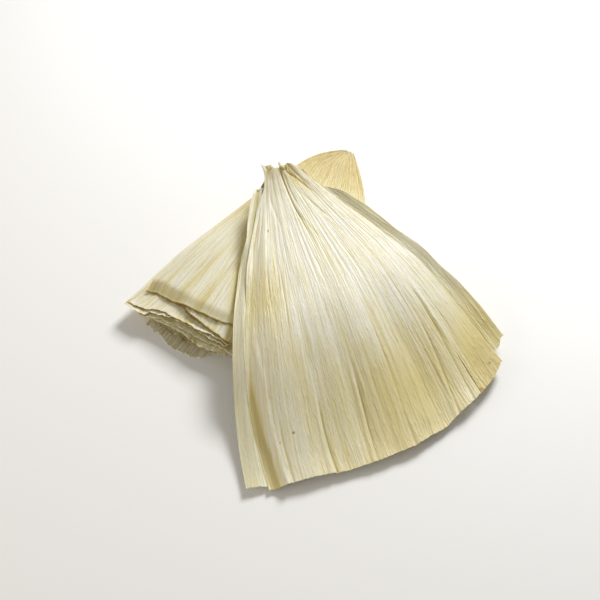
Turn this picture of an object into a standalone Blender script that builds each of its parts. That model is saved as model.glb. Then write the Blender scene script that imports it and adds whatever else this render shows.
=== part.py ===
"""A bundle of dried corn husks lying on a table.

Eleven husks, pressed flat, lie on each other in a stack. Three more are nested in
each other, gathered at the stem, and laid across the stack so that their wide ends
come down to the table. Metres, +Z up, origin on the table under the middle.
"""

import math
from dataclasses import dataclass

import bmesh
import bpy

MM = 0.001

# One dried husk is a sheet of this thickness
SHEET = 0.5 * MM

# Rows of points across a husk lie closer together near its stem, by this power
ROW_SPREAD = 1.15

# The middle of the bundle, seen from above, in the layout that the stems are given in
MIDDLE = (9.135 * MM, -2.315 * MM)

# Height of the pressed stack, and the share of it that is left at the stems
STACK_HEIGHT = 22.0 * MM
STEM_END_SHARE = 0.74
SIDE_DROOP = 0.10
CORNER_SAG = 0.20

# Frame of the stack: the stem of its longest husk, and the way that husk points
STACK_STEM = (36 * MM, 136 * MM)
STACK_HEADING = 246.0

# Frame of the fan, which all three nested husks share
FAN_STEM = (-14 * MM, 86 * MM)
FAN_HEADING = 286.1
FAN_LENGTH = 219 * MM
FAN_STEM_HALF = 14 * MM
FAN_LEFT_HALF = 78 * MM
FAN_RIGHT_HALF = 100 * MM
FAN_LEFT_SWELL = 1.6
FAN_RIGHT_SWELL = 1.75
FAN_RIGHT_ROUND = 0.118

# The nested husks are cut from one grid, so that they stay the same distance apart
FAN_COLUMNS = 28
FAN_ROWS = 14
FAN_SPARE_COLUMNS = 2
FAN_SPARE_SIDE = 0.15
FAN_SPARE = 13 * MM
NEST_STEP = 1.25 * MM
NEST_OPEN = 0.7

# Heights of the fan: over the stack, above that at the stem, and at the wide end
FAN_OVER_STACK = 29.6 * MM
FAN_STEM_LIFT = 12.0 * MM
FAN_STEM_FADE = 24 * MM
FAN_END_LEFT = 4.8 * MM
FAN_END_RIGHT = 6.6 * MM
FAN_CROWN = 2.0 * MM
FAN_BEND_LEFT = 0.47
FAN_BEND_RIGHT = 0.66

# Pleats that gather the fan at its stem
PLEAT_COUNT = 4.5
PLEAT_DEPTH = 1.7 * MM
PLEAT_FADE = 0.10

# Furrows of the skirt: place across, depth and width
FURROWS = ((-0.43, 1.3, 0.10), (-0.14, 1.1, 0.09), (0.36, 1.4, 0.10))

# A rounded corner is cut back by this power of the way across
ROUND_POWER = 2.05
ROUND_FROM = 0.3

# Tear in the front husk: the column that it follows, where it starts, how far it opens
TEAR_COLUMN = 24
TEAR_FROM = 0.75
TEAR_OPENING = 2.6 * MM

# The stack, from the table up: stem x and y, heading, length, left and right half widths,
# how fast each side widens, lift of the wide end, rounding of the left and right corners,
# bulge of the left side, which is largest at BULGE_AT from the stem
BULGE_AT = 22 * MM
STACK = (
    (20, 121, 243.0, 190, 44, 66, 1.4, 2.0, 0.0, 0.040, 0.10, 0),
    (27, 128, 245.0, 192, 55, 64, 1.3, 2.1, 0.1, 0.045, 0.12, 0),
    (12, 116, 243.0, 178, 43, 70, 1.4, 1.9, 0.2, 0.030, 0.11, 0),
    (30, 124, 244.0, 190, 58, 62, 1.3, 2.2, 0.2, 0.050, 0.12, 0),
    (18, 129, 246.0, 190, 56, 64, 1.4, 2.0, 0.1, 0.040, 0.13, 0),
    (31, 131, 245.0, 194, 56, 60, 1.4, 2.2, -0.3, 0.060, 0.12, 0),
    (28, 127, 243.6, 197, 61, 60, 1.4, 2.3, -0.6, 0.050, 0.14, 0),
    (36, 136, 246.0, 203, 77.5, 62, 1.3, 2.5, 0.0, 0.026, 0.15, 11),
    (6, 104, 250.0, 161, 76, 48, 1.1, 1.6, 0.1, 0.045, 0.13, 0),
    (0, 101, 248.0, 161, 52, 50, 1.2, 1.6, 0.1, 0.240, 0.02, 0),
    (-11, 98, 254.0, 140, 66, 50, 1.02, 1.5, 0.3, 0.080, 0.09, 0),
)
STACK_COLUMNS = 10
STACK_ROWS = 9


@dataclass
class Husk:
    """One husk, by its plan. Left and right are as seen from the stem end, towards +X."""

    name: str
    stem: tuple
    heading: float
    length: float
    stem_half: float
    left_half: float
    right_half: float
    left_swell: float
    right_swell: float
    left_round: float = 0.0
    right_round: float = 0.0
    bulge: float = 0.0
    height: float = 0.0
    end_lift: float = 0.0
    wave: float = 0.0
    depth: int = 0
    nested: bool = False
    torn: bool = False
    first_column: int = 0
    columns: int = STACK_COLUMNS
    rows: int = STACK_ROWS
    all_rows: int = STACK_ROWS
    shortfall: float = 0.0
    colour: tuple = (0.80, 0.74, 0.55)


def ease(x):
    """Rises smoothly from 0 to 1."""
    x = min(max(x, 0.0), 1.0)
    return x * x * (3.0 - 2.0 * x)


def bell(x):
    """A smooth bump, 1 at 0 and next to nothing past 2."""
    return math.exp(-x * x)


def axes_of(heading):
    """The way a husk points, and the way to its right side, seen from above."""
    angle = math.radians(heading)
    ahead = (math.cos(angle), math.sin(angle))
    return ahead, (-ahead[1], ahead[0])


def to_plan(stem, heading, along, across):
    ahead, right = axes_of(heading)
    return (
        stem[0] + along * ahead[0] + across * right[0],
        stem[1] + along * ahead[1] + across * right[1],
    )


def from_plan(stem, heading, x, y):
    ahead, right = axes_of(heading)
    dx, dy = x - stem[0], y - stem[1]
    return dx * ahead[0] + dy * ahead[1], dx * right[0] + dy * right[1]


def half_width(stem_half, end_half, swell, share):
    """A husk widens fast from the stem, then ever more slowly."""
    share = min(max(share, 0.0), 1.0)
    return stem_half + (end_half - stem_half) * (1.0 - (1.0 - share) ** swell)


def reach(length, left_round, right_round, side):
    """How long the husk is at this place across, from -1 at its left to 1 at its right."""
    right = right_round * max(0.0, side + ROUND_FROM) ** ROUND_POWER
    left = left_round * max(0.0, ROUND_FROM - side) ** ROUND_POWER
    return length * (1.0 - right - left)


def edges_at(shape, way):
    left = half_width(shape.stem_half, shape.left_half, shape.left_swell, way)
    right = half_width(shape.stem_half, shape.right_half, shape.right_swell, way)
    far = way * shape.length / BULGE_AT
    return left + shape.bulge * far * math.exp(1.0 - far), right


def stack_point(husk, side, share):
    """The place of a stacked husk's point: side from -1 to 1, share from 0 at the stem."""
    along = share * reach(husk.length, husk.left_round, husk.right_round, side)
    left, right = edges_at(husk, along / husk.length)
    across = (right - left) / 2 + side * (right + left) / 2
    x, y = to_plan(husk.stem, husk.heading, along, across)
    return x, y, stack_height(husk, x, y)


def stack_height(husk, x, y):
    """The stack is lower at the stems and the sides, and sags at its left corner."""
    along, across = from_plan(STACK_STEM, STACK_HEADING, x, y)
    stem_share = STEM_END_SHARE + (1 - STEM_END_SHARE) * ease(along / (95 * MM))
    side_share = 1 - SIDE_DROOP * min(1.0, (across / (85 * MM)) ** 2)
    corner = ease((along - 130 * MM) / (60 * MM)) * ease((-across - 25 * MM) / (45 * MM))
    height = husk.height * stem_share * (side_share - CORNER_SAG * corner)
    height += husk.end_lift * ease((along - 140 * MM) / (55 * MM))
    level = husk.height / STACK_HEIGHT
    height += 0.7 * MM * level * math.sin(along / (31 * MM)) * math.sin(across / (19 * MM))
    ripple = math.sin(across / (11 * MM) + 9 * husk.wave)
    return height + 0.2 * MM * level * ripple * math.sin(along / (37 * MM) + husk.wave)


def fan_point(husk, side, share):
    """The same for the fan. Past its right edge, at 1, the side runs on to 1.15."""
    along = share * reach(FAN_LENGTH, 0.0, FAN_RIGHT_ROUND, min(side, 1.0))
    left, right = edges_at(husk, along / FAN_LENGTH)
    across = (right - left) / 2 + min(side, 1.0) * (right + left) / 2
    spare = max(0.0, side - 1.0) / FAN_SPARE_SIDE
    across += spare * FAN_SPARE * ease(along / FAN_LENGTH / 0.14)
    x, y = to_plan(FAN_STEM, FAN_HEADING, along, across)
    return x, y, fan_height(side, share, along) - nest_drop(husk, share)


def fan_folds(side, share, along):
    """Pleats at the stem, the folded left edge, and the broad furrows of the skirt."""
    pleats = PLEAT_DEPTH * math.exp(-share / PLEAT_FADE)
    height = pleats * math.sin(math.pi * PLEAT_COUNT * min(side, 1.0) + 0.6)
    folded = ease((share - 0.08) / 0.25)
    height -= 1.4 * MM * folded * bell((side + 0.86) / 0.08)
    height += 1.0 * MM * folded * bell((side + 0.72) / 0.08)
    hang = ease((along - 142 * MM) / (26 * MM)) * ease((1.0 - share) / 0.3)
    height -= 3.0 * MM * hang * ease((-side - 0.84) / 0.16)
    skirt = ease((share - 0.45) / 0.3) * ease((1.10 - share) / 0.25)
    for place, depth, width in FURROWS:
        height -= depth * MM * skirt * bell((side - place) / width)
    return height + 1.0 * MM * skirt * math.sin(9.0 * side + 0.8)


def fan_height(side, share, along):
    """One surface that the three nested husks follow: over the stack, then down."""
    across = ease((side + 1.0) / 2.0)
    end = FAN_END_LEFT + (FAN_END_RIGHT - FAN_END_LEFT) * ease((side + 0.1) / 1.1)
    bend = FAN_BEND_LEFT + (FAN_BEND_RIGHT - FAN_BEND_LEFT) * across
    height = end + (FAN_OVER_STACK - end) * ease((1.0 - share) / bend)
    height += FAN_STEM_LIFT * math.exp(-along / FAN_STEM_FADE)
    height += FAN_CROWN * (1 - min(1.0, side * side)) * ease((1.02 - share) / 0.35)
    height += 3.0 * MM * ease((side - 1.0) / FAN_SPARE_SIDE) * ease((1.05 - share) / 0.5)
    return height + fan_folds(side, share, along)


def nest_drop(husk, share):
    """How far a nested husk lies under the front one: less towards the table."""
    return husk.depth * NEST_STEP * (1.0 + NEST_OPEN * ease((1.0 - share) / 0.35))


def grid_place(husk, vertex):
    """Side and share of a grid point. The grid is drawn from -1 to 1 both ways."""
    row = (vertex.co.x + 1) / 2 * husk.rows
    share = (row / husk.all_rows) ** ROW_SPREAD
    if row > husk.rows - 0.5:
        share -= husk.shortfall
    if not husk.nested:
        return vertex.co.y, share
    column = husk.first_column + (vertex.co.y + 1) / 2 * husk.columns
    side = 2.0 * column / FAN_COLUMNS - 1.0
    if column > FAN_COLUMNS:
        side = 1.0 + FAN_SPARE_SIDE * (column - FAN_COLUMNS) / FAN_SPARE_COLUMNS
    return side, share


def husk_object(husk, collection):
    """A flat grid bent to the husk's plan and height, with the thickness of a sheet."""
    mesh = bpy.data.meshes.new(husk.name)
    shape = bmesh.new()
    bmesh.ops.create_grid(
        shape, x_segments=husk.rows, y_segments=husk.columns, size=1.0
    )
    if husk.torn:
        tear(shape, husk)
    point_of = fan_point if husk.nested else stack_point
    for vertex in shape.verts:
        side, share = grid_place(husk, vertex)
        x, y, z = point_of(husk, side, share)
        vertex.co = (x - MIDDLE[0], y - MIDDLE[1], z)
    shape.to_mesh(mesh)
    shape.free()
    made = bpy.data.objects.new(husk.name, mesh)
    collection.objects.link(made)
    solidify = made.modifiers.new("sheet thickness", "SOLIDIFY")
    solidify.thickness = SHEET
    solidify.offset = 1.0
    mesh.materials.append(husk_material(husk))
    return made


def tear(shape, husk):
    """Splits the wide end along one rib, and draws the two lips apart."""
    column = 2.0 * (TEAR_COLUMN - husk.first_column) / husk.columns - 1.0
    start = 2.0 * TEAR_FROM ** (1 / ROW_SPREAD) - 1.0
    near = 0.2 / husk.columns
    seam = [
        edge
        for edge in shape.edges
        if all(abs(v.co.y - column) < near for v in edge.verts)
        and min(v.co.x for v in edge.verts) > start
    ]
    bmesh.ops.split_edges(shape, edges=seam)
    opening = TEAR_OPENING / (husk.left_half + husk.right_half)
    for vertex in shape.verts:
        if abs(vertex.co.y - column) > near or len(vertex.link_faces) > 2:
            continue
        if vertex.co.x <= start:
            continue
        middle = sum(face.calc_center_median().y for face in vertex.link_faces)
        lip = math.copysign(1.0, middle / len(vertex.link_faces) - column)
        vertex.co.y += lip * opening * (vertex.co.x - start) / (1.0 - start)


def husk_material(husk):
    material = bpy.data.materials.new(husk.name)
    material.use_nodes = True
    shader = material.node_tree.nodes["Principled BSDF"]
    shader.inputs["Base Color"].default_value = (*husk.colour, 1.0)
    shader.inputs["Roughness"].default_value = 0.5
    shader.inputs["Metallic"].default_value = 0.0
    return material


def stack_husks():
    """From the table up. Heights are at the middle of the stack."""
    for index, row in enumerate(STACK):
        x, y, heading, length, left, right, left_swell, right_swell = row[:8]
        lift, left_round, right_round, bulge = row[8:]
        yield Husk(
            name=f"stack_husk_{index + 1:02d}",
            stem=(x * MM, y * MM),
            heading=heading,
            length=length * MM,
            stem_half=(9 - 0.6 * index) * MM,
            left_half=left * MM,
            right_half=right * MM,
            left_swell=left_swell,
            right_swell=right_swell,
            left_round=left_round,
            right_round=right_round,
            bulge=bulge * MM,
            height=index * STACK_HEIGHT / (len(STACK) - 1),
            end_lift=lift * MM,
            wave=index * 1.7,
            colour=(0.70 + 0.01 * index, 0.64 + 0.01 * index, 0.44 + 0.01 * index),
        )


def fan_husks():
    """The three nested husks, from the one that lies on the stack to the front one."""
    rows = (
        ("fan_husk_back", 2, 0, FAN_COLUMNS + FAN_SPARE_COLUMNS, FAN_ROWS - 1, 0.0),
        ("fan_husk_middle", 1, 0, FAN_COLUMNS - 1, FAN_ROWS, 0.018),
        ("fan_husk_front", 0, 2, FAN_COLUMNS, FAN_ROWS, 0.0),
    )
    for name, depth, first, last, length_rows, shortfall in rows:
        yield Husk(
            name=name,
            stem=FAN_STEM,
            heading=FAN_HEADING,
            length=FAN_LENGTH,
            stem_half=FAN_STEM_HALF,
            left_half=FAN_LEFT_HALF,
            right_half=FAN_RIGHT_HALF,
            left_swell=FAN_LEFT_SWELL,
            right_swell=FAN_RIGHT_SWELL,
            depth=depth,
            nested=True,
            torn=depth == 0,
            first_column=first,
            columns=last - first,
            rows=length_rows,
            all_rows=FAN_ROWS,
            shortfall=shortfall,
            colour=(0.84 - 0.03 * depth, 0.78 - 0.03 * depth, 0.60 - 0.04 * depth),
        )


def main():
    for old in list(bpy.data.objects):
        bpy.data.objects.remove(old)
    bundle = bpy.data.collections.new("corn_husk_bundle")
    bpy.context.scene.collection.children.link(bundle)
    for husk in list(stack_husks()) + list(fan_husks()):
        husk_object(husk, bundle)


main()
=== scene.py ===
"""A bundle of dried corn husks: a pressed stack, with a fan of nested husks laid across it."""

import math

import bpy
import numpy as np
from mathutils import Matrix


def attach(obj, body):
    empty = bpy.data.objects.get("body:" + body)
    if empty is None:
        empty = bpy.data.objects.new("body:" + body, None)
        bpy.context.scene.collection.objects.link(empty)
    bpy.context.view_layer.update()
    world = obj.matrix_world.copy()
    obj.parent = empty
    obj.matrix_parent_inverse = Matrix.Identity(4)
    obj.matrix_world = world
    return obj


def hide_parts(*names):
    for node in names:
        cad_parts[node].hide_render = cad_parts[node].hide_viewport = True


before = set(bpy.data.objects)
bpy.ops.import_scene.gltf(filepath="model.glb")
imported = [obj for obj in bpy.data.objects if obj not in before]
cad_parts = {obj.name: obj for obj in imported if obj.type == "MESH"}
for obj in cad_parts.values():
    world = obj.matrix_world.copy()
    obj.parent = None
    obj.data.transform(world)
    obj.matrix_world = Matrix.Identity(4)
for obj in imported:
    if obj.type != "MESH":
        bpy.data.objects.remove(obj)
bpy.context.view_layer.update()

# The table that the husks lie on, and the light. A matt white table top, a window behind
# and to the right that is the main light, and a bright white room that fills the shadows.
# The camera looks down at the table from in front, as someone standing at it does.
MM = 0.001
# Where the middle of the heap is on the plan that the husks are laid out on
MIDDLE = np.array((9.135, -2.315)) * MM
CAMERA_AWAY = 600 * MM
CAMERA_DOWN = math.radians(50)
CAMERA_LENS = 54
TABLE_SIDE = 6.0


def linear(hex_colour):
    """A colour written as sRGB hex, as the linear values that a shader takes."""
    parts = [int(hex_colour[i : i + 2], 16) / 255 for i in (1, 3, 5)]
    return [c / 12.92 if c <= 0.04045 else ((c + 0.055) / 1.055) ** 2.4 for c in parts] + [1]


bpy.ops.object.select_all(action="DESELECT")
bpy.ops.mesh.primitive_plane_add(size=TABLE_SIDE, location=(0, 0, 0))
table_top = bpy.context.object
table_top.name = "table_top"
# Laminate pressed with a matt face: an even white that takes soft shadows and mirrors nothing
matt_white = bpy.data.materials.new("matt_white_laminate")
matt_white.use_nodes = True
matt_white.node_tree.nodes["Principled BSDF"].inputs["Base Color"].default_value = linear("#FEFEFE")
matt_white.node_tree.nodes["Principled BSDF"].inputs["Roughness"].default_value = 0.7
table_top.data.materials.append(matt_white)

# Each lamp's place and side in metres, its power in watts and its colour
for name, place, size, power, colour in (
    ("window", (0.40, 0.74, 0.67), 0.36, 11.3, "#FFFFFE"),
    ("room_left", (-1.0, -0.42, 0.30), 0.8, 3.9, "#FFF4E2"),
):
    bpy.ops.object.light_add(type="AREA", location=place)
    lamp = bpy.context.object
    lamp.name = name
    lamp.data.size = size
    lamp.data.energy = power
    lamp.data.color = linear(colour)[:3]
    lamp.rotation_euler = (
        math.atan2(math.hypot(place[0], place[1]), place[2]),
        0,
        math.atan2(place[1], place[0]) + math.pi / 2,
    )

room = bpy.data.worlds.new("white_room")
bpy.context.scene.world = room
room.use_nodes = True
room.node_tree.nodes["Background"].inputs["Color"].default_value = linear("#FAF6EE")
room.node_tree.nodes["Background"].inputs["Strength"].default_value = 0.31
bpy.context.scene.view_settings.view_transform = "Standard"

bpy.ops.object.camera_add(
    location=(
        -MIDDLE[0],
        -MIDDLE[1] - CAMERA_AWAY * math.cos(CAMERA_DOWN),
        CAMERA_AWAY * math.sin(CAMERA_DOWN),
    ),
    rotation=(math.pi / 2 - CAMERA_DOWN, 0, 0),
)
bpy.context.object.data.lens = CAMERA_LENS
bpy.context.object.data.clip_start = 0.01
bpy.context.scene.camera = bpy.context.object

# The front husk of the fan. The largest of the three nested husks: one dried leaf sheath,
# gathered into pleats where it was cut from the cob's base and spread to a skirt at the
# other end. It lies over the stack, and its skirt hangs down to a few mm over the table.
FAN_STEM = np.array((-14, 86)) * MM
FAN_HEADING = math.radians(286.1)
FAN_LENGTH = 219 * MM
FAN_STEM_HALF = 14 * MM
# Half width of each side at the hem, and how early the husk widens to it
FAN_LEFT = (78 * MM, 1.6)
FAN_RIGHT = (100 * MM, 1.75)
FAN_ROUND = 0.118
# The back husk is this much wider on the right, over this share of the fan's half width
FAN_SPARE = 13 * MM
FAN_SPARE_SIDE = 0.15
# Heights above the table: of the hem, of the part that lies on the stack, and of the neck
# above that part
FAN_HEM = 4.8 * MM
FAN_CROWN = 29.6 * MM
FAN_NECK = 12.0 * MM
SHEET = 0.42 * MM


def ease(x):
    """Rises smoothly from 0 to 1."""
    x = np.clip(x, 0.0, 1.0)
    return x * x * (3.0 - 2.0 * x)


def bell(x):
    """1 at 0, falling smoothly to nothing on both sides."""
    return np.exp(-x * x)


def follow(path, x):
    """Reads a line that is given as (place, value) pairs."""
    return np.interp(x, *zip(*path))


def wander(x, y, seed):
    """A smooth random height from -1 to 1, with about one lump a unit both ways."""
    table = np.random.default_rng(seed).uniform(-1, 1, (97, 89))
    xi, yi = np.floor(x).astype(int), np.floor(y).astype(int)
    fx, fy = ease(x - xi), ease(y - yi)
    corner = [[table[(xi + i) % 97, (yi + j) % 89] for j in (0, 1)] for i in (0, 1)]
    low = corner[0][0] * (1 - fy) + corner[0][1] * fy
    high = corner[1][0] * (1 - fy) + corner[1][1] * fy
    return low * (1 - fx) + high * fx


def half_width(stem_half, end, share):
    """A husk widens fast from the stem, then ever more slowly, up to its end."""
    return stem_half + (end[0] - stem_half) * (1 - (1 - np.clip(share, 0, 1)) ** end[1])


def corner_cut(side):
    """How much the wide end's rounding takes off, for each unit of roundness."""
    return np.maximum(0.0, side + 0.3) ** 2.05


def ahead_and_right(heading):
    """The directions along a husk and across it, on the plan."""
    ahead = np.array((math.cos(heading), math.sin(heading)))
    return ahead, np.array((-ahead[1], ahead[0]))


def on_plan(stem, heading, along, across):
    """Where a point of a husk is on the plan, from how far along and across it lies."""
    ahead, right = ahead_and_right(heading)
    return stem[:, None] + ahead[:, None] * along + right[:, None] * across


def crease(side, share, path, depth, width):
    """One fold: path gives its places as (share, side), fading out at both ends."""
    first, last = path[0][0], path[-1][0]
    length = last - first
    fade = ease((share - first) / (0.35 * length)) * ease((last - share) / (0.35 * length))
    if first <= 0.0:
        fade = ease((last - share) / (0.5 * length))
    if last >= 1.0:
        fade = ease((share - first) / (0.5 * length))
    width = width * (1 + 1.6 * np.exp(-np.maximum(share, 0) / 0.08))
    return depth * MM * fade * bell((side - follow(path, share)) / width)


# Folds of the fan that can be told apart: (share, side) along each, height in mm, width
FAN_FOLDS = (
    (((0.60, -0.90), (0.755, -0.892), (0.85, -0.872), (0.905, -0.845), (1.0, -0.83)), -1.4, 0.038),
    (((0.46, -0.86), (0.61, -0.85), (0.70, -0.81), (0.87, -0.78), (1.0, -0.75)), 1.2, 0.022),
    (((0.76, -0.73), (1.0, -0.71)), -0.5, 0.010),
    (((0.74, -0.42), (0.88, -0.43), (1.0, -0.42)), -0.9, 0.012),
    (((0.70, -0.45), (0.88, -0.455), (1.0, -0.45)), 0.5, 0.018),
    (((0.68, -0.13), (0.86, -0.15), (1.0, -0.17)), 0.7, 0.016),
    (((0.68, -0.105), (0.86, -0.125), (1.0, -0.145)), -0.9, 0.012),
    (((0.60, 0.59), (0.78, 0.56), (1.0, 0.50)), -0.7, 0.010),
    (((0.60, 0.565), (0.78, 0.535), (1.0, 0.475)), 0.5, 0.016),
    (((0.52, 0.72), (0.70, 0.70), (0.86, 0.70)), 0.6, 0.014),
    (((0.52, 0.69), (0.80, 0.66), (1.0, 0.64)), -0.6, 0.010),
    (((0.0, -0.085), (0.06, -0.095), (0.15, -0.085), (0.22, -0.055), (0.36, -0.03)), -0.75, 0.018),
    (((0.0, 0.03), (0.07, -0.005), (0.12, -0.01), (0.22, 0.03)), -0.55, 0.016),
    (((0.0, 0.05), (0.032, 0.14), (0.048, 0.315), (0.08, 0.435), (0.15, 0.58)), -0.7, 0.034),
    (((0.0, 0.36), (0.02, 0.405), (0.055, 0.50), (0.12, 0.58)), -0.55, 0.028),
    (((0.09, 0.10), (0.14, 0.28), (0.20, 0.36), (0.28, 0.47)), -0.45, 0.018),
    (((0.12, -0.11), (0.17, -0.09), (0.25, 0.03), (0.33, 0.10)), -0.4, 0.014),
    (((0.06, -0.63), (0.14, -0.53), (0.23, -0.42)), -0.45, 0.020),
    (((0.10, -0.80), (0.20, -0.86), (0.34, -0.89)), -0.7, 0.014),
    (((0.12, -0.74), (0.24, -0.79), (0.40, -0.82)), -0.5, 0.012),
    (((0.30, -0.70), (0.42, -0.69), (0.60, -0.66)), -0.4, 0.010),
    (((0.33, -0.55), (0.50, -0.54), (0.66, -0.55)), -0.35, 0.009),
    (((0.50, 0.16), (0.70, 0.15), (1.0, 0.13)), -0.5, 0.010),
    (((0.62, 0.31), (0.80, 0.30), (1.0, 0.28)), 0.4, 0.012),
)
# Wide hollows of the skirt: where each is across the fan, depth in mm, width
SKIRT_HOLLOWS = ((-0.43, 1.3, 0.10), (-0.14, 1.1, 0.09), (0.36, 1.4, 0.10))


def fan_surface(side, share):
    """Plan and height of the surface that the nested husks share, and its finer relief.
    side runs from -1 at the left edge to 1 at the right, share from 0 at the stem to 1."""
    inner = np.minimum(side, 1.0)
    along = share * FAN_LENGTH * (1 - FAN_ROUND * corner_cut(inner))
    left = half_width(FAN_STEM_HALF, FAN_LEFT, along / FAN_LENGTH)
    right = half_width(FAN_STEM_HALF, FAN_RIGHT, along / FAN_LENGTH)
    across = (right - left) / 2 + inner * (right + left) / 2
    spare = np.maximum(0.0, side - 1.0) / FAN_SPARE_SIDE
    across = across + spare * FAN_SPARE * ease(along / FAN_LENGTH / 0.14)

    # Level over the stack, then down to the hem. The neck stands up, and the middle bulges
    hem = FAN_HEM + 1.8 * MM * ease((side + 0.1) / 1.1)
    bend = 0.47 + 0.19 * ease((side + 1.0) / 2.0)
    height = hem + (FAN_CROWN - hem) * ease((1.0 - share) / bend)
    height += FAN_NECK * np.exp(-np.maximum(along, -2 * MM) / (24 * MM))
    height += 2.0 * MM * (1 - np.minimum(1.0, side * side)) * ease((1.02 - share) / 0.35)
    height += 3.0 * MM * ease((side - 1.0) / FAN_SPARE_SIDE) * ease((1.05 - share) / 0.5)

    # A furrow and a ridge run beside the left edge, and that edge hangs down past the stack
    folded = ease((share - 0.08) / 0.25)
    height -= 1.4 * MM * folded * bell((side + 0.86) / 0.08)
    height += 1.0 * MM * folded * bell((side + 0.72) / 0.08)
    hang = ease((along - 142 * MM) / (26 * MM)) * ease((1.0 - share) / 0.3)
    height -= 3.0 * MM * hang * ease((-side - 0.84) / 0.16)

    skirt = ease((share - 0.45) / 0.3) * ease((1.10 - share) / 0.25)
    for place, depth, width in SKIRT_HOLLOWS:
        height -= depth * MM * skirt * bell((side - place) / width)
    height += 1.0 * MM * skirt * np.sin(9.0 * side + 0.8)

    # Pleats of the neck, the gathers below it, the single folds, then the ribs and threads
    pleat = np.sin(math.pi * 4.5 * inner + 0.6)
    relief = 0.8 * MM * np.exp(-share / 0.05) * pleat
    relief += 0.35 * MM * bell((share - 0.08) / 0.10) * wander(side * 13, share * 2.5, 11)
    gathered = bell((share - 0.33) / 0.14) * ease((0.15 - side) / 0.5)
    relief += 0.30 * MM * gathered * wander(side * 30, share * 4.5, 15)
    for path, depth, width in FAN_FOLDS:
        relief += crease(side, share, path, depth, width)
    swell = 0.3 + 0.7 * ease((share - 0.5) / 0.3)
    relief += 0.34 * MM * swell * wander(side * 8 + 3, share * 2.2, 12)
    ridge = np.abs(wander(side * 17 + 5, share * 2.6, 13))
    relief += 0.38 * MM * swell * (0.4 - ridge) * ease(share / 0.2)
    thread = np.abs(wander(side * 41, share * 3.4, 14))
    relief += 0.24 * MM * (0.4 - thread) * ease(share / 0.15)
    return along, across, height, relief


def fan_place(side, share, drop, lift):
    """Where a point of a nested husk is, drop below the front husk's surface."""
    along, across, height, relief = fan_surface(side, share)
    x, y = on_plan(FAN_STEM, FAN_HEADING, along, across) - MIDDLE[:, None]
    return x, y, height + relief + lift - drop, along, relief


def lay_husk(name, columns, rows, place, seam=None):
    """A grid laid out as one husk. place takes how far across (-1 to 1) and how far along
    (0 to 1) each point is and its side of the tear, and gives its x, y, z, its place on the
    flat husk in mm, its furrow tint, which also holds painted shade, and how yellowed, which
    also holds painted light and shade. seam is where a tear runs, as (across, from how far
    along), both from -1 to 1."""
    bpy.ops.object.select_all(action="DESELECT")
    bpy.ops.mesh.primitive_grid_add(x_subdivisions=rows, y_subdivisions=columns, size=2)
    husk = bpy.context.object
    husk.name = name
    husk.data.name = name
    mesh = husk.data
    mesh.uv_layers[0].name = "run"
    side_of_tear = None
    if seam:
        column = round((seam[0] + 1) / 2 * columns) / columns * 2 - 1
        bpy.ops.object.mode_set(mode="EDIT")
        bpy.ops.mesh.select_all(action="DESELECT")
        bpy.ops.object.mode_set(mode="OBJECT")
        for edge in mesh.edges:
            ends = [mesh.vertices[i].co for i in edge.vertices]
            on_seam = all(abs(e.y - column) < 0.2 / columns for e in ends)
            edge.select = on_seam and min(e.x for e in ends) > seam[1]
        bpy.ops.object.mode_set(mode="EDIT")
        bpy.ops.mesh.edge_split(type="EDGE")
        bpy.ops.object.mode_set(mode="OBJECT")
        centres = np.zeros(len(mesh.vertices))
        for face in mesh.polygons:
            for i in face.vertices:
                centres[i] += face.center.y - column
        side_of_tear = np.sign(centres)
    points = np.empty(len(mesh.vertices) * 3)
    mesh.vertices.foreach_get("co", points)
    points = points.reshape(-1, 3)
    even, across = (points[:, 0] + 1) / 2, points[:, 1].copy()
    # The rows are closer together at both ends, where the husk was cut
    along = 0.4 * even + 0.3 * (1 - np.cos(math.pi * even))
    x, y, z, u, v, furrow_and_shade, aged_and_painted_light = place(across, along, side_of_tear)
    mesh.vertices.foreach_set("co", np.stack([x, y, z], 1).ravel())
    corners = np.empty(len(mesh.loops), dtype=np.int32)
    mesh.loops.foreach_get("vertex_index", corners)
    mesh.uv_layers["run"].data.foreach_set("uv", np.stack([u[corners], v[corners]], 1).ravel())
    for worth, values in (("furrow_and_shade", furrow_and_shade), ("aged_and_painted_light", aged_and_painted_light)):
        mesh.attributes.new(worth, "FLOAT", "POINT").data.foreach_set("value", values)
    mesh.update()
    wall = husk.modifiers.new("wall", "SOLIDIFY")
    wall.thickness = SHEET
    wall.offset = 1.0
    bpy.ops.object.modifier_apply(modifier="wall")
    bpy.ops.object.shade_smooth_by_angle(angle=math.radians(60))
    return husk


def add_node(material, kind, settings=(), **inputs):
    """Adds a node. Each input gets a value or another node's output. It is named by its
    label, with _ for a space, or by i and its number."""
    tree = material.node_tree
    node = tree.nodes.new(kind)
    for key, value in dict(settings).items():
        setattr(node, key, value)
    for key, value in inputs.items():
        at = int(key[1:]) if key[1:].isdigit() else key.replace("_", " ")
        if isinstance(value, bpy.types.NodeSocket):
            tree.links.new(value, node.inputs[at])
        else:
            node.inputs[at].default_value = value
    return node


# Grains of a husk: width and length in mm, finer detail, and a shift that sets them apart.
# The first two lie on the flat husk, and the waver then sways the rest to the sides, as the
# veins of a real husk sway. The veins are drawn 1.25 mm apart, because finer ones don't show
HUSK_GRAINS = (
    ("crinkle", 1.1, 2.3, 2.0, 9.4),
    ("waver", 7.0, 20.0, 1.0, 2.2),
    ("vein", 1.25, 42.0, 1.0, 1.3),
    ("strip", 3.6, 80.0, 1.0, 12.6),
    ("tone", 8.0, 110.0, 1.0, 3.1),
    ("blotch", 13.0, 20.0, 3.0, 5.2),
    ("crack", 1.2, 26.0, 0.0, 17.9),
    ("wrinkle", 1.7, 9.0, 1.0, 23.3),
)
WAVER_MM = 1.8
VEIN_HEIGHT = 0.40 * MM


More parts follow.
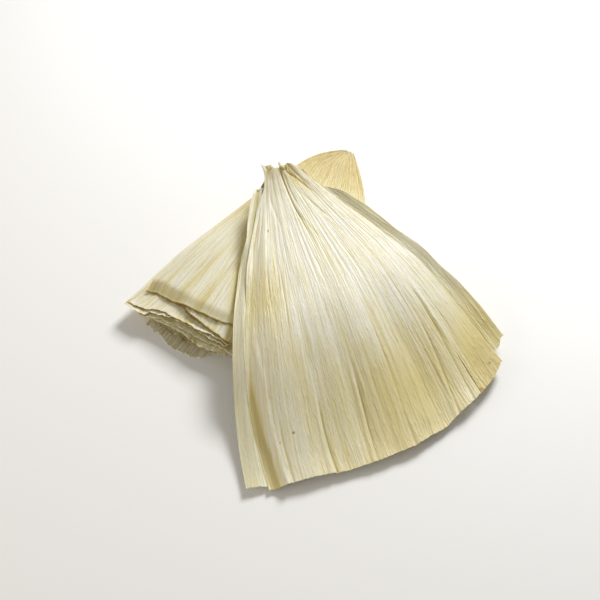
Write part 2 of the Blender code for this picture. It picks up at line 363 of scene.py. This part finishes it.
def dried_husk(name, pale, deep, yellow, ochre, rough=0.45, veined=0.29, marks=()):
    """Dried husk: papery, a little glossy, ribbed with veins about 1 mm apart that run
    from the stem, and crinkled between them. Pale where it is broad and smooth, a deeper
    straw yellow towards its ends, and yellow to ochre in its furrows, which is partly its own
    colour and partly painted crease shade; the same tint paints shade under edges and in
    gaps. marks are the brown spots, each as its place in mm (across, along) and its radius."""
    material = bpy.data.materials.new(name)
    material.use_nodes = True
    shader = material.node_tree.nodes["Principled BSDF"]
    aged_and_painted_light = add_node(material, "ShaderNodeAttribute", {"attribute_name": "aged_and_painted_light"}).outputs["Fac"]
    furrow_and_shade_fac = add_node(material, "ShaderNodeAttribute", {"attribute_name": "furrow_and_shade"}).outputs["Fac"]
    flat = add_node(material, "ShaderNodeUVMap", {"uv_map": "run"}).outputs["UV"]
    run, grain = flat, {}
    for kind, width_mm, length_mm, detail, shift in HUSK_GRAINS:
        grid = add_node(
            material, "ShaderNodeMapping",
            Vector=run, Scale=(1 / width_mm, 1 / length_mm, 1), Location=(shift, shift, shift),
        )
        noise = add_node(
            material, "ShaderNodeTexNoise", {"noise_dimensions": "2D"},
            Vector=grid.outputs["Vector"], Scale=1.0, Detail=detail, Roughness=0.55,
        )
        grain[kind] = noise.outputs["Fac"]
        if kind == "waver":
            run = add_node(
                material, "ShaderNodeVectorMath", {"operation": "MULTIPLY_ADD"},
                i0=noise.outputs["Color"], i1=(WAVER_MM, 0, 0), i2=flat,
            ).outputs["Vector"]

    # Each tint: what it follows, from where to where it comes in, how strong, its colour
    tints = [
        (grain["tone"], 0.38, 0.75, 0.22, deep),
        (grain["blotch"], 0.45, 0.75, 0.16, deep),
        (grain["strip"], 0.50, 0.72, 0.32, yellow),
        (grain["vein"], 0.54, 0.34, veined, yellow),
        (grain["crinkle"], 0.48, 0.30, 0.20, yellow),
        (grain["crack"], 0.34, 0.26, 0.18, ochre),
        # Yellow, then ochre, by the furrow tint: partly the husk's own colour in its furrows, partly
        # painted shade in creases, under edges, in the tear and beside the fan
        (furrow_and_shade_fac, 0.0, 0.5, 0.7, yellow),
        (furrow_and_shade_fac, 0.25, 1.0, 0.95, ochre),
    ]
    for across_mm, along_mm, radius in marks:
        away = add_node(
            material, "ShaderNodeVectorMath", {"operation": "DISTANCE"},
            i0=flat, i1=(across_mm, along_mm, 0),
        )
        tints.append((away.outputs["Value"], radius * 2.2, radius * 0.55, 1.0, "#B98A3C"))
    colour = linear(pale)
    for value, begins, full, strength, tint in tints:
        share = add_node(
            material, "ShaderNodeMapRange", {"interpolation_type": "SMOOTHSTEP"},
            Value=value, From_Min=begins, From_Max=full, To_Max=strength,
        ).outputs["Result"]
        if value == grain["tone"]:
            share = add_node(material, "ShaderNodeMath", i0=aged_and_painted_light, i1=share).outputs["Value"]
        colour = add_node(
            material, "ShaderNodeMix", {"data_type": "RGBA"}, i0=share, i6=colour, i7=linear(tint)
        ).outputs[2]
    material.node_tree.links.new(colour, shader.inputs["Base Color"])

    # Light sinks about a millimetre into the dry leaf, and comes out warmer
    shader.inputs["Subsurface Weight"].default_value = 0.30
    shader.inputs["Subsurface Radius"].default_value = (1.0, 0.80, 0.45)
    shader.inputs["Subsurface Scale"].default_value = 1.0 * MM
    dulled = add_node(
        material, "ShaderNodeMapRange",
        Value=grain["strip"], To_Min=rough - 0.05, To_Max=rough + 0.09,
    )
    material.node_tree.links.new(dulled.outputs["Result"], shader.inputs["Roughness"])

    # The veins stand up, with crinkles and wrinkles between them, more where it has yellowed
    wrinkled = add_node(
        material, "ShaderNodeMapRange", {"interpolation_type": "SMOOTHSTEP"},
        Value=grain["wrinkle"], From_Min=0.52, From_Max=0.78,
    ).outputs["Result"]
    height = grain["vein"]
    for value, weight in ((grain["crinkle"], 0.52), (grain["strip"], 0.7), (wrinkled, 0.6)):
        height = add_node(
            material, "ShaderNodeMath", {"operation": "MULTIPLY_ADD"}, i0=value, i1=weight, i2=height
        ).outputs["Value"]
    strength = add_node(
        material, "ShaderNodeMapRange", Value=aged_and_painted_light, From_Max=0.6, To_Min=0.48, To_Max=0.78
    )
    bump = add_node(
        material, "ShaderNodeBump",
        Strength=strength.outputs["Result"], Distance=VEIN_HEIGHT, Height=height,
    )
    material.node_tree.links.new(bump.outputs["Normal"], shader.inputs["Normal"])
    return material


# The tear: where it runs across the fan, from how far along, and its column and start on
# the grid
TEAR_SIDE = 0.71
TEAR_FROM = 0.755
TEAR_SEAM = (0.692, 0.44)
# Where the front husk's two edges run: share of the length, then how far across
FRONT_LEFT = (
    (0.0, -0.93), (0.006, -0.86), (0.014, -0.76), (0.055, -0.75), (0.10, -0.85), (0.15, -0.90),
    (0.28, -0.94), (0.35, -0.95), (0.50, -0.92), (0.61, -0.94), (0.77, -0.92), (0.89, -0.89),
    (1.0, -0.87),
)
FRONT_RIGHT = (
    (0.0, 0.72), (0.03, 0.78), (0.06, 0.82), (0.12, 0.87), (0.30, 0.90), (0.42, 0.925),
    (0.46, 0.965), (0.52, 1.0), (1.0, 1.0),
)
# The stem end was cut with a knife: how far each part of the cut lies along the husk, in mm
FRONT_LIP = (
    (-0.93, -3.5), (-0.86, -1.0), (-0.76, 2.4), (-0.66, 3.0), (-0.08, 2.4), (0.02, 5.5),
    (0.18, 6.2), (0.26, 1.5), (0.40, 0.0), (0.55, 2.5), (0.75, 4.5),
)
# Mm across the flat husk from its middle line to its edge, for the grain
FAN_GRAIN_HALF = 89
# The lowest that the husk's underside comes, over the ones nested under it
FRONT_LOWEST = 0.4 * MM


def front_place(across, along, torn):
    """Lays out the front husk. torn is -1 left of the tear and 1 right of it."""
    left, right = follow(FRONT_LEFT, along), follow(FRONT_RIGHT, along)
    side = left + (across + 1) / 2 * (right - left)
    # The tear opens towards the hem, and one side of it stands up over the other
    opened = ease((along - TEAR_FROM) / (1 - TEAR_FROM) * 0.7)
    near = bell((side - TEAR_SIDE) / 0.035)
    gape = ease((along - 0.80) / 0.10) * ease((1.02 - along) / 0.10)
    side = side + torn * near * (0.003 * opened + 0.004 * gape)
    lifted = 0.6 * MM * opened * near * (0.4 - 0.6 * torn)
    # Both ends are uneven: the stem end was cut by hand, and the hem has dried ragged
    lip = (follow(FRONT_LIP, side) + 0.5 * wander(side * 16, side * 0, 21)) * MM
    ragged = 0.9 * MM * wander(side * 8, side * 0, 22)
    ragged = ragged + 0.22 * MM * wander(side * 60, side * 0, 23)
    start, end = lip / FAN_LENGTH, 1.0 + ragged / FAN_LENGTH
    share = start + along * (end - start)
    lifted = lifted + 0.7 * MM * ease((0.05 - share) / 0.04)
    curl = 0.9 * MM * ease((share - 0.93) / 0.07) * wander(side * 7, side * 0, 24)
    curl = curl * ease((side - left) / 0.12)
    turned = -0.1 * MM * bell((side - left) / 0.02) * ease((share - 0.3) / 0.2)
    x, y, z, run, relief = fan_place(side, share, 0.0, curl + turned + lifted)
    # Tinted in the folds, partly their own colour and partly painted crease shade; painted shade in
    # the tear; and tinted at the right tip, right of the neck, and mid skirt
    deep = (0.9 - 0.5 * np.exp(-np.maximum(share, 0) / 0.12)) * MM
    furrow_and_shade = np.maximum.reduce([
        np.clip(0.8 * (-relief / deep - 0.22), 0, 0.62),
        0.9 * opened * bell((side - TEAR_SIDE - 0.012) / 0.020),
        0.60 * ease((side - 0.60) / 0.25) * ease((share - 0.66) / 0.3),
        0.55 * bell((share - 0.045) / 0.04) * bell((side - 0.28) / 0.22),
        0.30 * bell((side - 0.12) / 0.50) * ease((share - 0.60) / 0.25),
    ])
    # Yellowed all over the skirt and the neck's right. Painted shade darkens the mid left; painted
    # light makes the low left paler, and a painted highlight the left edge's ridge
    aged_and_painted_light = 0.42 * ease((share - 0.52) / 0.24) + 0.04 * bell((share - 0.05) / 0.08)
    aged_and_painted_light += 0.38 * ease((side - 0.60) / 0.4) * ease((share - 0.60) / 0.4)
    aged_and_painted_light += 0.80 * ease((-side - 0.40) / 0.25) * bell((share - 0.47) / 0.12)
    aged_and_painted_light += 0.30 * bell((share - 0.07) / 0.08) * ease((side + 0.1) / 0.3)
    aged_and_painted_light += 0.35 * bell((side - 0.35) / 0.30) * bell((share - 0.86) / 0.12)
    aged_and_painted_light -= 0.25 * ease((-side - 0.5) / 0.2) * ease((share - 0.75) / 0.15)
    aged_and_painted_light -= 0.60 * bell((side - left - 0.008) / 0.014) * ease((share - 0.5) / 0.2)
    u, v = side * FAN_GRAIN_HALF, run / MM
    return x, y, np.maximum(z, FRONT_LOWEST), u, v, furrow_and_shade, np.clip(aged_and_painted_light, 0, 1)


# A big outer husk: cream, olive in its folds, which is partly painted crease shade, with a few small
# brown spots
straw_spotted = dried_husk(
    "dried_husk_spotted", "#F7F4E6", "#DACD98", "#DFCC7B", "#A5955A",
    marks=(
        (-58.7, 49.9, 0.85), (-57.0, 190.9, 0.55), (-65.9, 194.4, 0.3), (90.0, 169.0, 0.9),
        (80.5, 174.0, 0.6), (65.0, 190.5, 0.9), (61.6, 195.5, 1.1), (71.2, 190.0, 0.5),
    ),
)
front_husk = lay_husk("fan_front_husk", 440, 92, front_place, TEAR_SEAM)
front_husk.data.materials.append(straw_spotted)
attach(front_husk, "root")
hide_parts("fan_husk_front")

# The middle husk of the fan. A dried leaf sheath like the front one, still nested under it
# as it grew, with nothing else to hold it. It shows as its left margin, which is folded down
# against the stack, and through the tear.
MIDDLE_LEFT = (
    (0.0, -0.72), (0.055, -0.74), (0.062, -1.07), (0.117, -1.085), (0.185, -1.045),
    (0.244, -1.01), (0.27, -1.02), (0.29, -1.05), (0.346, -1.06), (0.40, -1.05),
    (0.60, -1.035), (0.97, -1.01),
)
MIDDLE_RIGHT = 0.93
MIDDLE_END = 0.982
MIDDLE_LOWEST = 0.3 * MM
NEST_GAP = 1.25 * MM


def nest_drop(depth, share):
    """How far a nested husk lies under the front one."""
    return depth * NEST_GAP * (1.0 + 0.7 * ease((1.0 - share) / 0.35))


def middle_place(across, along, torn):
    """Lays out the middle husk, which isn't torn."""
    left = follow(MIDDLE_LEFT, along)
    side = left + (across + 1) / 2 * (MIDDLE_RIGHT - left)
    lip = (1.0 * wander(side * 16, side * 0, 31) + 4.0 * ease((side + 0.75) / 0.15)) * MM
    ragged = 0.9 * MM * wander(side * 9, side * 0, 32)
    ragged = ragged + 0.4 * MM * wander(side * 60, side * 0, 33)
    start, end = lip / FAN_LENGTH, MIDDLE_END + ragged / FAN_LENGTH
    share = start + along * (end - start)
    # The margin is folded down low on the husk, and stands up as a strip near the neck
    fold = ease((-side - 0.93) / 0.10) * ease((share - 0.25) / 0.10)
    turned = -2.6 * MM * fold * ease((1.05 - share) / 0.3)
    strip = ease((share - 0.05) / 0.02) * ease((0.31 - share) / 0.07)
    turned += 3.6 * MM * strip * ease((-side - 0.95) / 0.07)
    turned += 0.9 * MM * strip * ease((-side - 0.80) / 0.06)
    # Below the strip it comes up until it touches the front husk
    drop = nest_drop(1, share)
    touching = drop - 0.46 * MM
    turned += touching * ease((-side - 0.83) / 0.05) * ease((share - 0.36) / 0.14)
    x, y, z, run, relief = fan_place(side, share, drop, turned)
    # Tinted in its furrows, partly painted crease shade; painted shade in the valley beside the
    # strip, and the strip made paler as painted light
    furrow_and_shade = 0.8 * np.clip(-relief / (0.9 * MM) - 0.22, 0, 1)
    furrow_and_shade = np.maximum(furrow_and_shade, 0.4 * strip * bell((side + 0.92) / 0.05))
    aged_and_painted_light = 0.30 * (1 - strip * ease((-side - 0.96) / 0.04))
    return x, y, np.maximum(z, MIDDLE_LOWEST), side * FAN_GRAIN_HALF, run / MM, furrow_and_shade, aged_and_painted_light


# Inner husks, dried out of the sun: tan straw with olive furrows, which are partly painted crease
# shade
straw_tan = dried_husk("dried_husk_tan", "#F5F3E3", "#DBD19F", "#DBCF8B", "#A3975B")
middle_husk = lay_husk("fan_middle_husk", 260, 70, middle_place)
middle_husk.data.materials.append(straw_tan)
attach(middle_husk, "root")
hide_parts("fan_husk_middle")

# The back husk of the fan. The third nested leaf sheath, which lies on the stack and carries
# the other two. Its right margin shows past the front husk: a furrow beside it, darkened
# with painted shade, then a pale edge that curled up as it dried.
BACK_RIGHT = (
    (-0.04, 0.60), (0.0, 0.76), (0.02, 0.82), (0.06, 0.93), (0.11, 1.05), (0.15, 1.08),
    (0.28, 1.10), (0.41, 1.08), (0.64, 1.10), (0.74, 1.13), (0.85, 1.15), (1.0, 1.15),
)
BACK_LIP = (
    (-0.75, -9.0), (-0.71, -8.2), (-0.53, -6.7), (-0.31, -3.2), (-0.10, -1.2), (-0.02, -1.6),
    (0.03, -6.4), (0.08, -6.0), (0.14, -4.6), (0.40, -4.5), (0.51, -1.4), (0.72, 1.0),
)
BACK_END = 0.945
BACK_LOWEST = 0.2 * MM


def back_place(across, along, torn):
    """Lays out the back husk, which isn't torn."""
    right = follow(BACK_RIGHT, along)
    left = -0.72 - 0.26 * ease((along - 0.05) / 0.06)
    side = left + (across + 1) / 2 * (right - left)
    lip = (follow(BACK_LIP, side) + 0.6 * wander(side * 14, side * 0, 41)) * MM
    ragged = 1.0 * MM * wander(side * 9, side * 0, 42)
    ragged = ragged + 0.4 * MM * wander(side * 60, side * 0, 43)
    start = lip / FAN_LENGTH
    end = BACK_END - 0.045 * ease((side - 1.03) / 0.12) + ragged / FAN_LENGTH
    share = start + along * (end - start)
    # The stem end dips behind the front husk's lip, and the right margin curls up
    raised = -0.8 * MM * ease((0.035 - share) / 0.03)
    curled = ease((share - 0.10) / 0.05) * ease((0.66 - share) / 0.2)
    raised += 0.9 * MM * curled * ease((side - 1.01) / 0.07)
    raised -= 0.5 * MM * curled * bell((side - 0.98) / 0.03)
    raised += 0.4 * MM * ease((side - 1.06) / 0.05) * wander(share * 14, share * 0, 44)
    # Lower down that margin comes up until it touches the front husk's edge
    drop = nest_drop(2, share)
    margin = ease((side - 0.94) / 0.05) * ease((share - 0.36) / 0.18)
    raised += margin * (drop - 0.65 * MM)
    x, y, z, run, relief = fan_place(side, share, drop, raised)
    # Tinted in its furrows, partly painted crease shade; painted shade in the furrow beside the
    # front husk's edge and under the front husk's lip; darker towards its end
    furrow_and_shade = np.maximum.reduce([
        0.8 * np.clip(-relief / (0.9 * MM) - 0.22, 0, 1),
        0.15 * bell((side - 0.98) / 0.04) * ease((0.60 - share) / 0.2),
        0.9 * ease((share + 0.014) / 0.012) * ease((0.07 - share) / 0.02),
        0.50 * ease((share - 0.66) / 0.2),
    ])
    # Yellowed towards its end, with painted shade in the furrow beside the front husk's edge
    aged_and_painted_light = 0.65 * ease((share - 0.50) / 0.3) + 0.1 * bell((side - 0.98) / 0.05)
    u, v = side * FAN_GRAIN_HALF, run / MM
    return x, y, np.maximum(z, BACK_LOWEST), u, v, furrow_and_shade, np.clip(aged_and_painted_light, 0, 1)


back_husk = lay_husk("fan_back_husk", 320, 80, back_place)
back_husk.data.materials.append(straw_tan)
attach(back_husk, "root")
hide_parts("fan_husk_back")

# The stack. Eleven leaf sheaths that dried pressed flat on each other, wide ends to the lower
# left, and lie loose. Their wide ends were cut off square and have frayed, and the lower
# ones are torn and greyer.
STACK_STEM = np.array((36, 136)) * MM
STACK_HEADING = math.radians(246.0)
STACK_HEIGHT = 22.0 * MM
# How far from the stem the bulge of a husk's left side is largest
BULGE_AT = 22 * MM
# From the table up: the stem's x and y, heading, length, the left and the right end (half
# width, how early the husk widens to it), lift of the wide end, rounding of its left and
# right corners, bulge of the left side and fray of the end. Lengths are in mm, the heading
# in degrees
STACK = (
    (20, 121, 243.0, 190, (44, 1.4), (66, 2.0), 0.0, 0.040, 0.10, 0, 2.6),
    (27, 128, 245.0, 192, (55, 1.3), (64, 2.1), 0.1, 0.045, 0.12, 0, 2.4),
    (12, 116, 243.0, 178, (43, 1.4), (70, 1.9), 0.2, 0.030, 0.11, 0, 2.2),
    (30, 124, 244.0, 190, (58, 1.3), (62, 2.2), 0.2, 0.050, 0.12, 0, 2.0),
    (18, 129, 246.0, 190, (56, 1.4), (64, 2.0), 0.1, 0.040, 0.13, 0, 2.0),
    (31, 131, 245.0, 194, (56, 1.4), (60, 2.2), -0.3, 0.060, 0.12, 0, 1.6),
    (28, 127, 243.6, 197, (61, 1.4), (60, 2.3), -0.6, 0.050, 0.14, 0, 1.4),
    (36, 136, 246.0, 203, (77.5, 1.3), (62, 2.5), 0.0, 0.026, 0.15, 11, 1.3),
    (6, 104, 250.0, 161, (76, 1.1), (48, 1.6), 0.1, 0.045, 0.13, 0, 1.0),
    (0, 101, 248.0, 161, (52, 1.2), (50, 1.6), 0.1, 0.240, 0.02, 0, 0.5),
    (-11, 98, 254.0, 140, (66, 1.02), (50, 1.5), 0.3, 0.080, 0.09, 0, 0.5),
)
# Husks of the stack are counted from 0 at the table
TOP = len(STACK) - 1
# How each husk's end was cut or torn: place across, then its length against an even cut
STACK_ENDS = {
    0: ((-1, 1.02), (-0.5, 1.02), (-0.15, 1.0), (-0.09, 0.985), (-0.06, 0.955), (1, 0.95)),
    5: ((-0.84, 1.08), (-0.59, 1.05), (1, 1.045)),
    6: ((-0.85, 1.035), (-0.62, 0.995), (-0.24, 0.978), (0.13, 1.0), (0.34, 1.04)),
    7: ((-1, 1.013), (-0.80, 1.016), (-0.753, 1.014), (-0.726, 0.995), (-0.49, 0.981),
        (-0.19, 0.987), (0.10, 1.025), (0.2, 1.036)),
    8: ((-1, 0.998), (-0.80, 0.99), (-0.726, 0.984), (-0.68, 0.968), (-0.53, 0.960),
        (-0.21, 0.972), (0.10, 1.004), (0.38, 1.07)),
    9: ((-0.46, 1.016), (-0.20, 0.966), (0.0, 0.954), (0.15, 0.958), (0.40, 0.985)),
    10: ((-1, 1.01), (-0.86, 0.978), (-0.6, 0.970), (-0.43, 0.965), (-0.08, 0.981), (0.29, 1.02)),
}
# Which husks lie just over each one, where their ends can be seen; their ends paint shade on it
STACK_OVER = {9: (10,), 8: (9, 10), 7: (8,), 6: (7,), 5: (6,), 4: (5,), 3: (5,), 2: (5,)}
# How the ends of the upper husks sag onto those below, at the left corner and elsewhere:
# how far down, from how far before the end, and within what length, in mm
STACK_SAG = {
    6: ((0.5, 36, 30), (0.4, 36, 30)),
    7: ((1.2, 36, 30), (1.1, 36, 30)),
    8: ((2.2, 36, 30), (2.0, 36, 30)),
    9: ((1.9, 16, 16), (1.9, 16, 16)),
    10: ((3.9, 7.5, 6), (2.3, 7, 7)),
}
# Mm across one of these husks from its middle line to its edge, for the grain
STACK_GRAIN_HALF = 60
# Width of the painted shade line that a husk's end casts on the one below
RIM_SHADE_WIDTH = 0.9 * MM


def stack_height(index, lift, x, y):
    """Height of one pressed husk: the stack thins towards its stems, sides and left corner."""
    ahead, right = ahead_and_right(STACK_HEADING)
    dx, dy = x - STACK_STEM[0], y - STACK_STEM[1]
    along, across = dx * ahead[0] + dy * ahead[1], dx * right[0] + dy * right[1]
    level = index / TOP
    stem_share = 0.74 + 0.26 * ease(along / (95 * MM))
    corner = ease((along - 130 * MM) / (60 * MM)) * ease((-across - 25 * MM) / (45 * MM))
    side_share = 1 - 0.10 * np.minimum(1.0, (across / (85 * MM)) ** 2) - 0.20 * corner
    height = STACK_HEIGHT * level * stem_share * side_share
    height += lift * MM * ease((along - 140 * MM) / (55 * MM))
    wave = np.sin(along / (31 * MM)) * np.sin(across / (19 * MM))
    ripple = np.sin(across / (11 * MM) + 15.3 * index) * np.sin(along / (37 * MM) + 1.7 * index)
    return height + 0.7 * MM * level * wave + 0.2 * MM * level * ripple


def stack_shape(index):
    """Functions for one pressed husk: its half widths along it, and its length across it."""
    length, left_end, right_end = STACK[index][3:6]
    left_round, right_round, bulge, fray = STACK[index][7:]
    stem_half = (9 - 0.6 * index) * MM

    def halves(run):
        share = run / (length * MM)
        left = half_width(stem_half, (left_end[0] * MM, left_end[1]), share)
        right = half_width(stem_half, (right_end[0] * MM, right_end[1]), share)
        far = np.maximum(run, 0) / BULGE_AT
        return left + bulge * MM * far * np.exp(1 - far), right

    def reach(across):
        cut = right_round * corner_cut(across) + left_round * corner_cut(-across)
        whole = length * MM * (1 - cut) * follow(STACK_ENDS.get(index, ((0, 1),)), across)
        return whole + wander(across * 5, across * 0, 100 + 10 * index) * 0.25 * fray * MM

    return halves, reach


def painted_rim_shade(index, x, y):
    """1 in the painted shade line under the end of a husk, fading to 0 away from it and beside it.
    """
    x0, y0, heading = STACK[index][:3]
    ahead, right = ahead_and_right(math.radians(heading))
    dx, dy = x - x0 * MM, y - y0 * MM
    run, off = dx * ahead[0] + dy * ahead[1], dx * right[0] + dy * right[1]
    halves, reach = stack_shape(index)
    left_half, right_half = halves(run)
    across = (off - (right_half - left_half) / 2) / ((right_half + left_half) / 2)
    past = run - reach(np.clip(across, -1, 1))
    return ease(1 - past / RIM_SHADE_WIDTH) * ease((past + 4 * MM) / (2 * MM)) * (np.abs(across) < 1.03)


def painted_fan_shade(x, y):
    """Painted shade from the fan: 1 where the fan covers the stack, fading to 0 just past the fan's
    left edge.
    """
    ahead, right = ahead_and_right(FAN_HEADING)
    dx, dy = x - FAN_STEM[0], y - FAN_STEM[1]
    along, off = dx * ahead[0] + dy * ahead[1], dx * right[0] + dy * right[1]
    left = half_width(FAN_STEM_HALF, FAN_LEFT, along / FAN_LENGTH)
    return ease((off + 1.05 * left + 8 * MM) / (6 * MM)) * ease((along + 4 * MM) / (12 * MM))


def stack_placer(index):
    """The function that lays out one husk of the stack."""
    x0, y0, heading, length = STACK[index][:4]
    lift, fray = STACK[index][6], STACK[index][10]
    stem, heading = np.array((x0, y0)) * MM, math.radians(heading)
    halves, reach = stack_shape(index)
    seed = 100 + 10 * index

    def place(across, along, torn):
        still = across * 0
        frayed = 0.30 * wander(across * 19, still, seed + 1)
        frayed = frayed + 0.35 * wander(across * 66, still, seed + 2)
        whole = reach(across) + fray * MM * frayed
        lip = 1.6 * MM * wander(across * 6, still, seed + 3)
        run = lip * (1 - along) + along * whole
        from_end = whole - run
        share = run / (length * MM)
        left, right = halves(run)
        x, y = on_plan(stem, heading, run, (right - left) / 2 + across * (right + left) / 2)

        # The upper husks sag at their ends, and the last 3 mm of three of them turn up again
        z = stack_height(index, lift, x, y)
        corner = ease((-across - (0.28 if index == TOP else 0.45)) / 0.3)
        for (sag, begins, within), weight in zip(STACK_SAG.get(index, ()), (corner, 1 - corner)):
            z -= sag * MM * ease((begins * MM - from_end) / (within * MM)) * weight
        if index in (6, 7, 8):
            z += 0.5 * MM * ease((3.0 * MM - from_end) / (3 * MM))

        # Lumps, ribs and threads, and a ruffle where the end is frayed
        relief = 0.30 * MM * wander(across * 6, share * 2, seed + 4) * ease(share / 0.2)
        relief += 0.30 * MM * (0.4 - np.abs(wander(across * 11, share * 2.2, seed + 5)))
        relief += 0.16 * MM * (0.4 - np.abs(wander(across * 30, share * 3, seed + 6)))
        ruffle = ease((5 * MM - from_end) / (5 * MM))
        relief += fray * 0.22 * MM * ruffle * wander(across * 26, from_end / (3 * MM), seed + 7)
        if index == 0:
            relief = np.maximum(relief, 0)

        # Tinted in its folds, partly painted crease shade, along its cut end and towards its stem;
        # painted shade under the ends of the husks above, under and beside the fan, and on the top
        # husk's drooping end
        tints = [0.8 * np.clip(-relief / (0.5 * MM) - 0.15, 0, 1)]
        # Painted shade under the ends of the husks above
        for above in STACK_OVER.get(index, ()):
            tints.append((0.75 if index > 6 else 0.5) * painted_rim_shade(above, x, y))
        if index > 6:
            tints.append(0.50 * ease((0.34 - share) / 0.22))
        # Painted shade under and beside the fan
        if index > 7:
            tints.append(0.45 * painted_fan_shade(x, y))
        if index > 8:
            tints.append(0.9 * ease(1 - from_end / (0.9 * MM)))
        # Painted shade on the top husk's drooping end, strongest at its left corner
        if index == TOP:
            tints.append(0.34 * ease((9 * MM - from_end) / (4 * MM)) * (0.6 + 0.4 * corner))
        aged_and_painted_light = 0.05 + 0.6 * ease((0.5 - share) / 0.3)
        x, y, z = x - MIDDLE[0], y - MIDDLE[1], z + relief
        u, v = across * STACK_GRAIN_HALF, run / MM
        return x, y, z, u, v, np.maximum.reduce(tints), np.clip(aged_and_painted_light, 0, 1)

    return place


# Husks near the table: grey, dull and strongly veined
straw_grey = dried_husk(
    "dried_husk_grey", "#F2EEDC", "#D6CFB0", "#CDBF8A", "#7E6D44", rough=0.6, veined=0.8
)
# Nearly white husks, partly painted light for their ends that catch the light below the top husks;
# brown near their ends where the husks above paint shade
straw_white = dried_husk(
    "dried_husk_white_with_painted_light", "#FBF7E7", "#DFD29E", "#E2CF86", "#A28446", veined=0.36
)
# The two top husks: warm cream with yellow veins
straw_cream = dried_husk(
    "dried_husk_cream", "#F8F5E6", "#DDD09C", "#DECD7E", "#927940", veined=0.42
)
STACK_STRAW = [straw_grey] * 4 + [straw_tan] * 3 + [straw_white] * 2 + [straw_cream] * 2
for index, straw in enumerate(STACK_STRAW):
    # The four upper husks show most of what can be seen, so their grid is finer
    columns, rows = (240, 56) if index > 6 else (170, 40)
    husk = lay_husk(f"stack_husk_{index + 1:02d}_leaf", columns, rows, stack_placer(index))
    husk.data.materials.append(straw)
    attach(husk, "root")
    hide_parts(f"stack_husk_{index + 1:02d}")
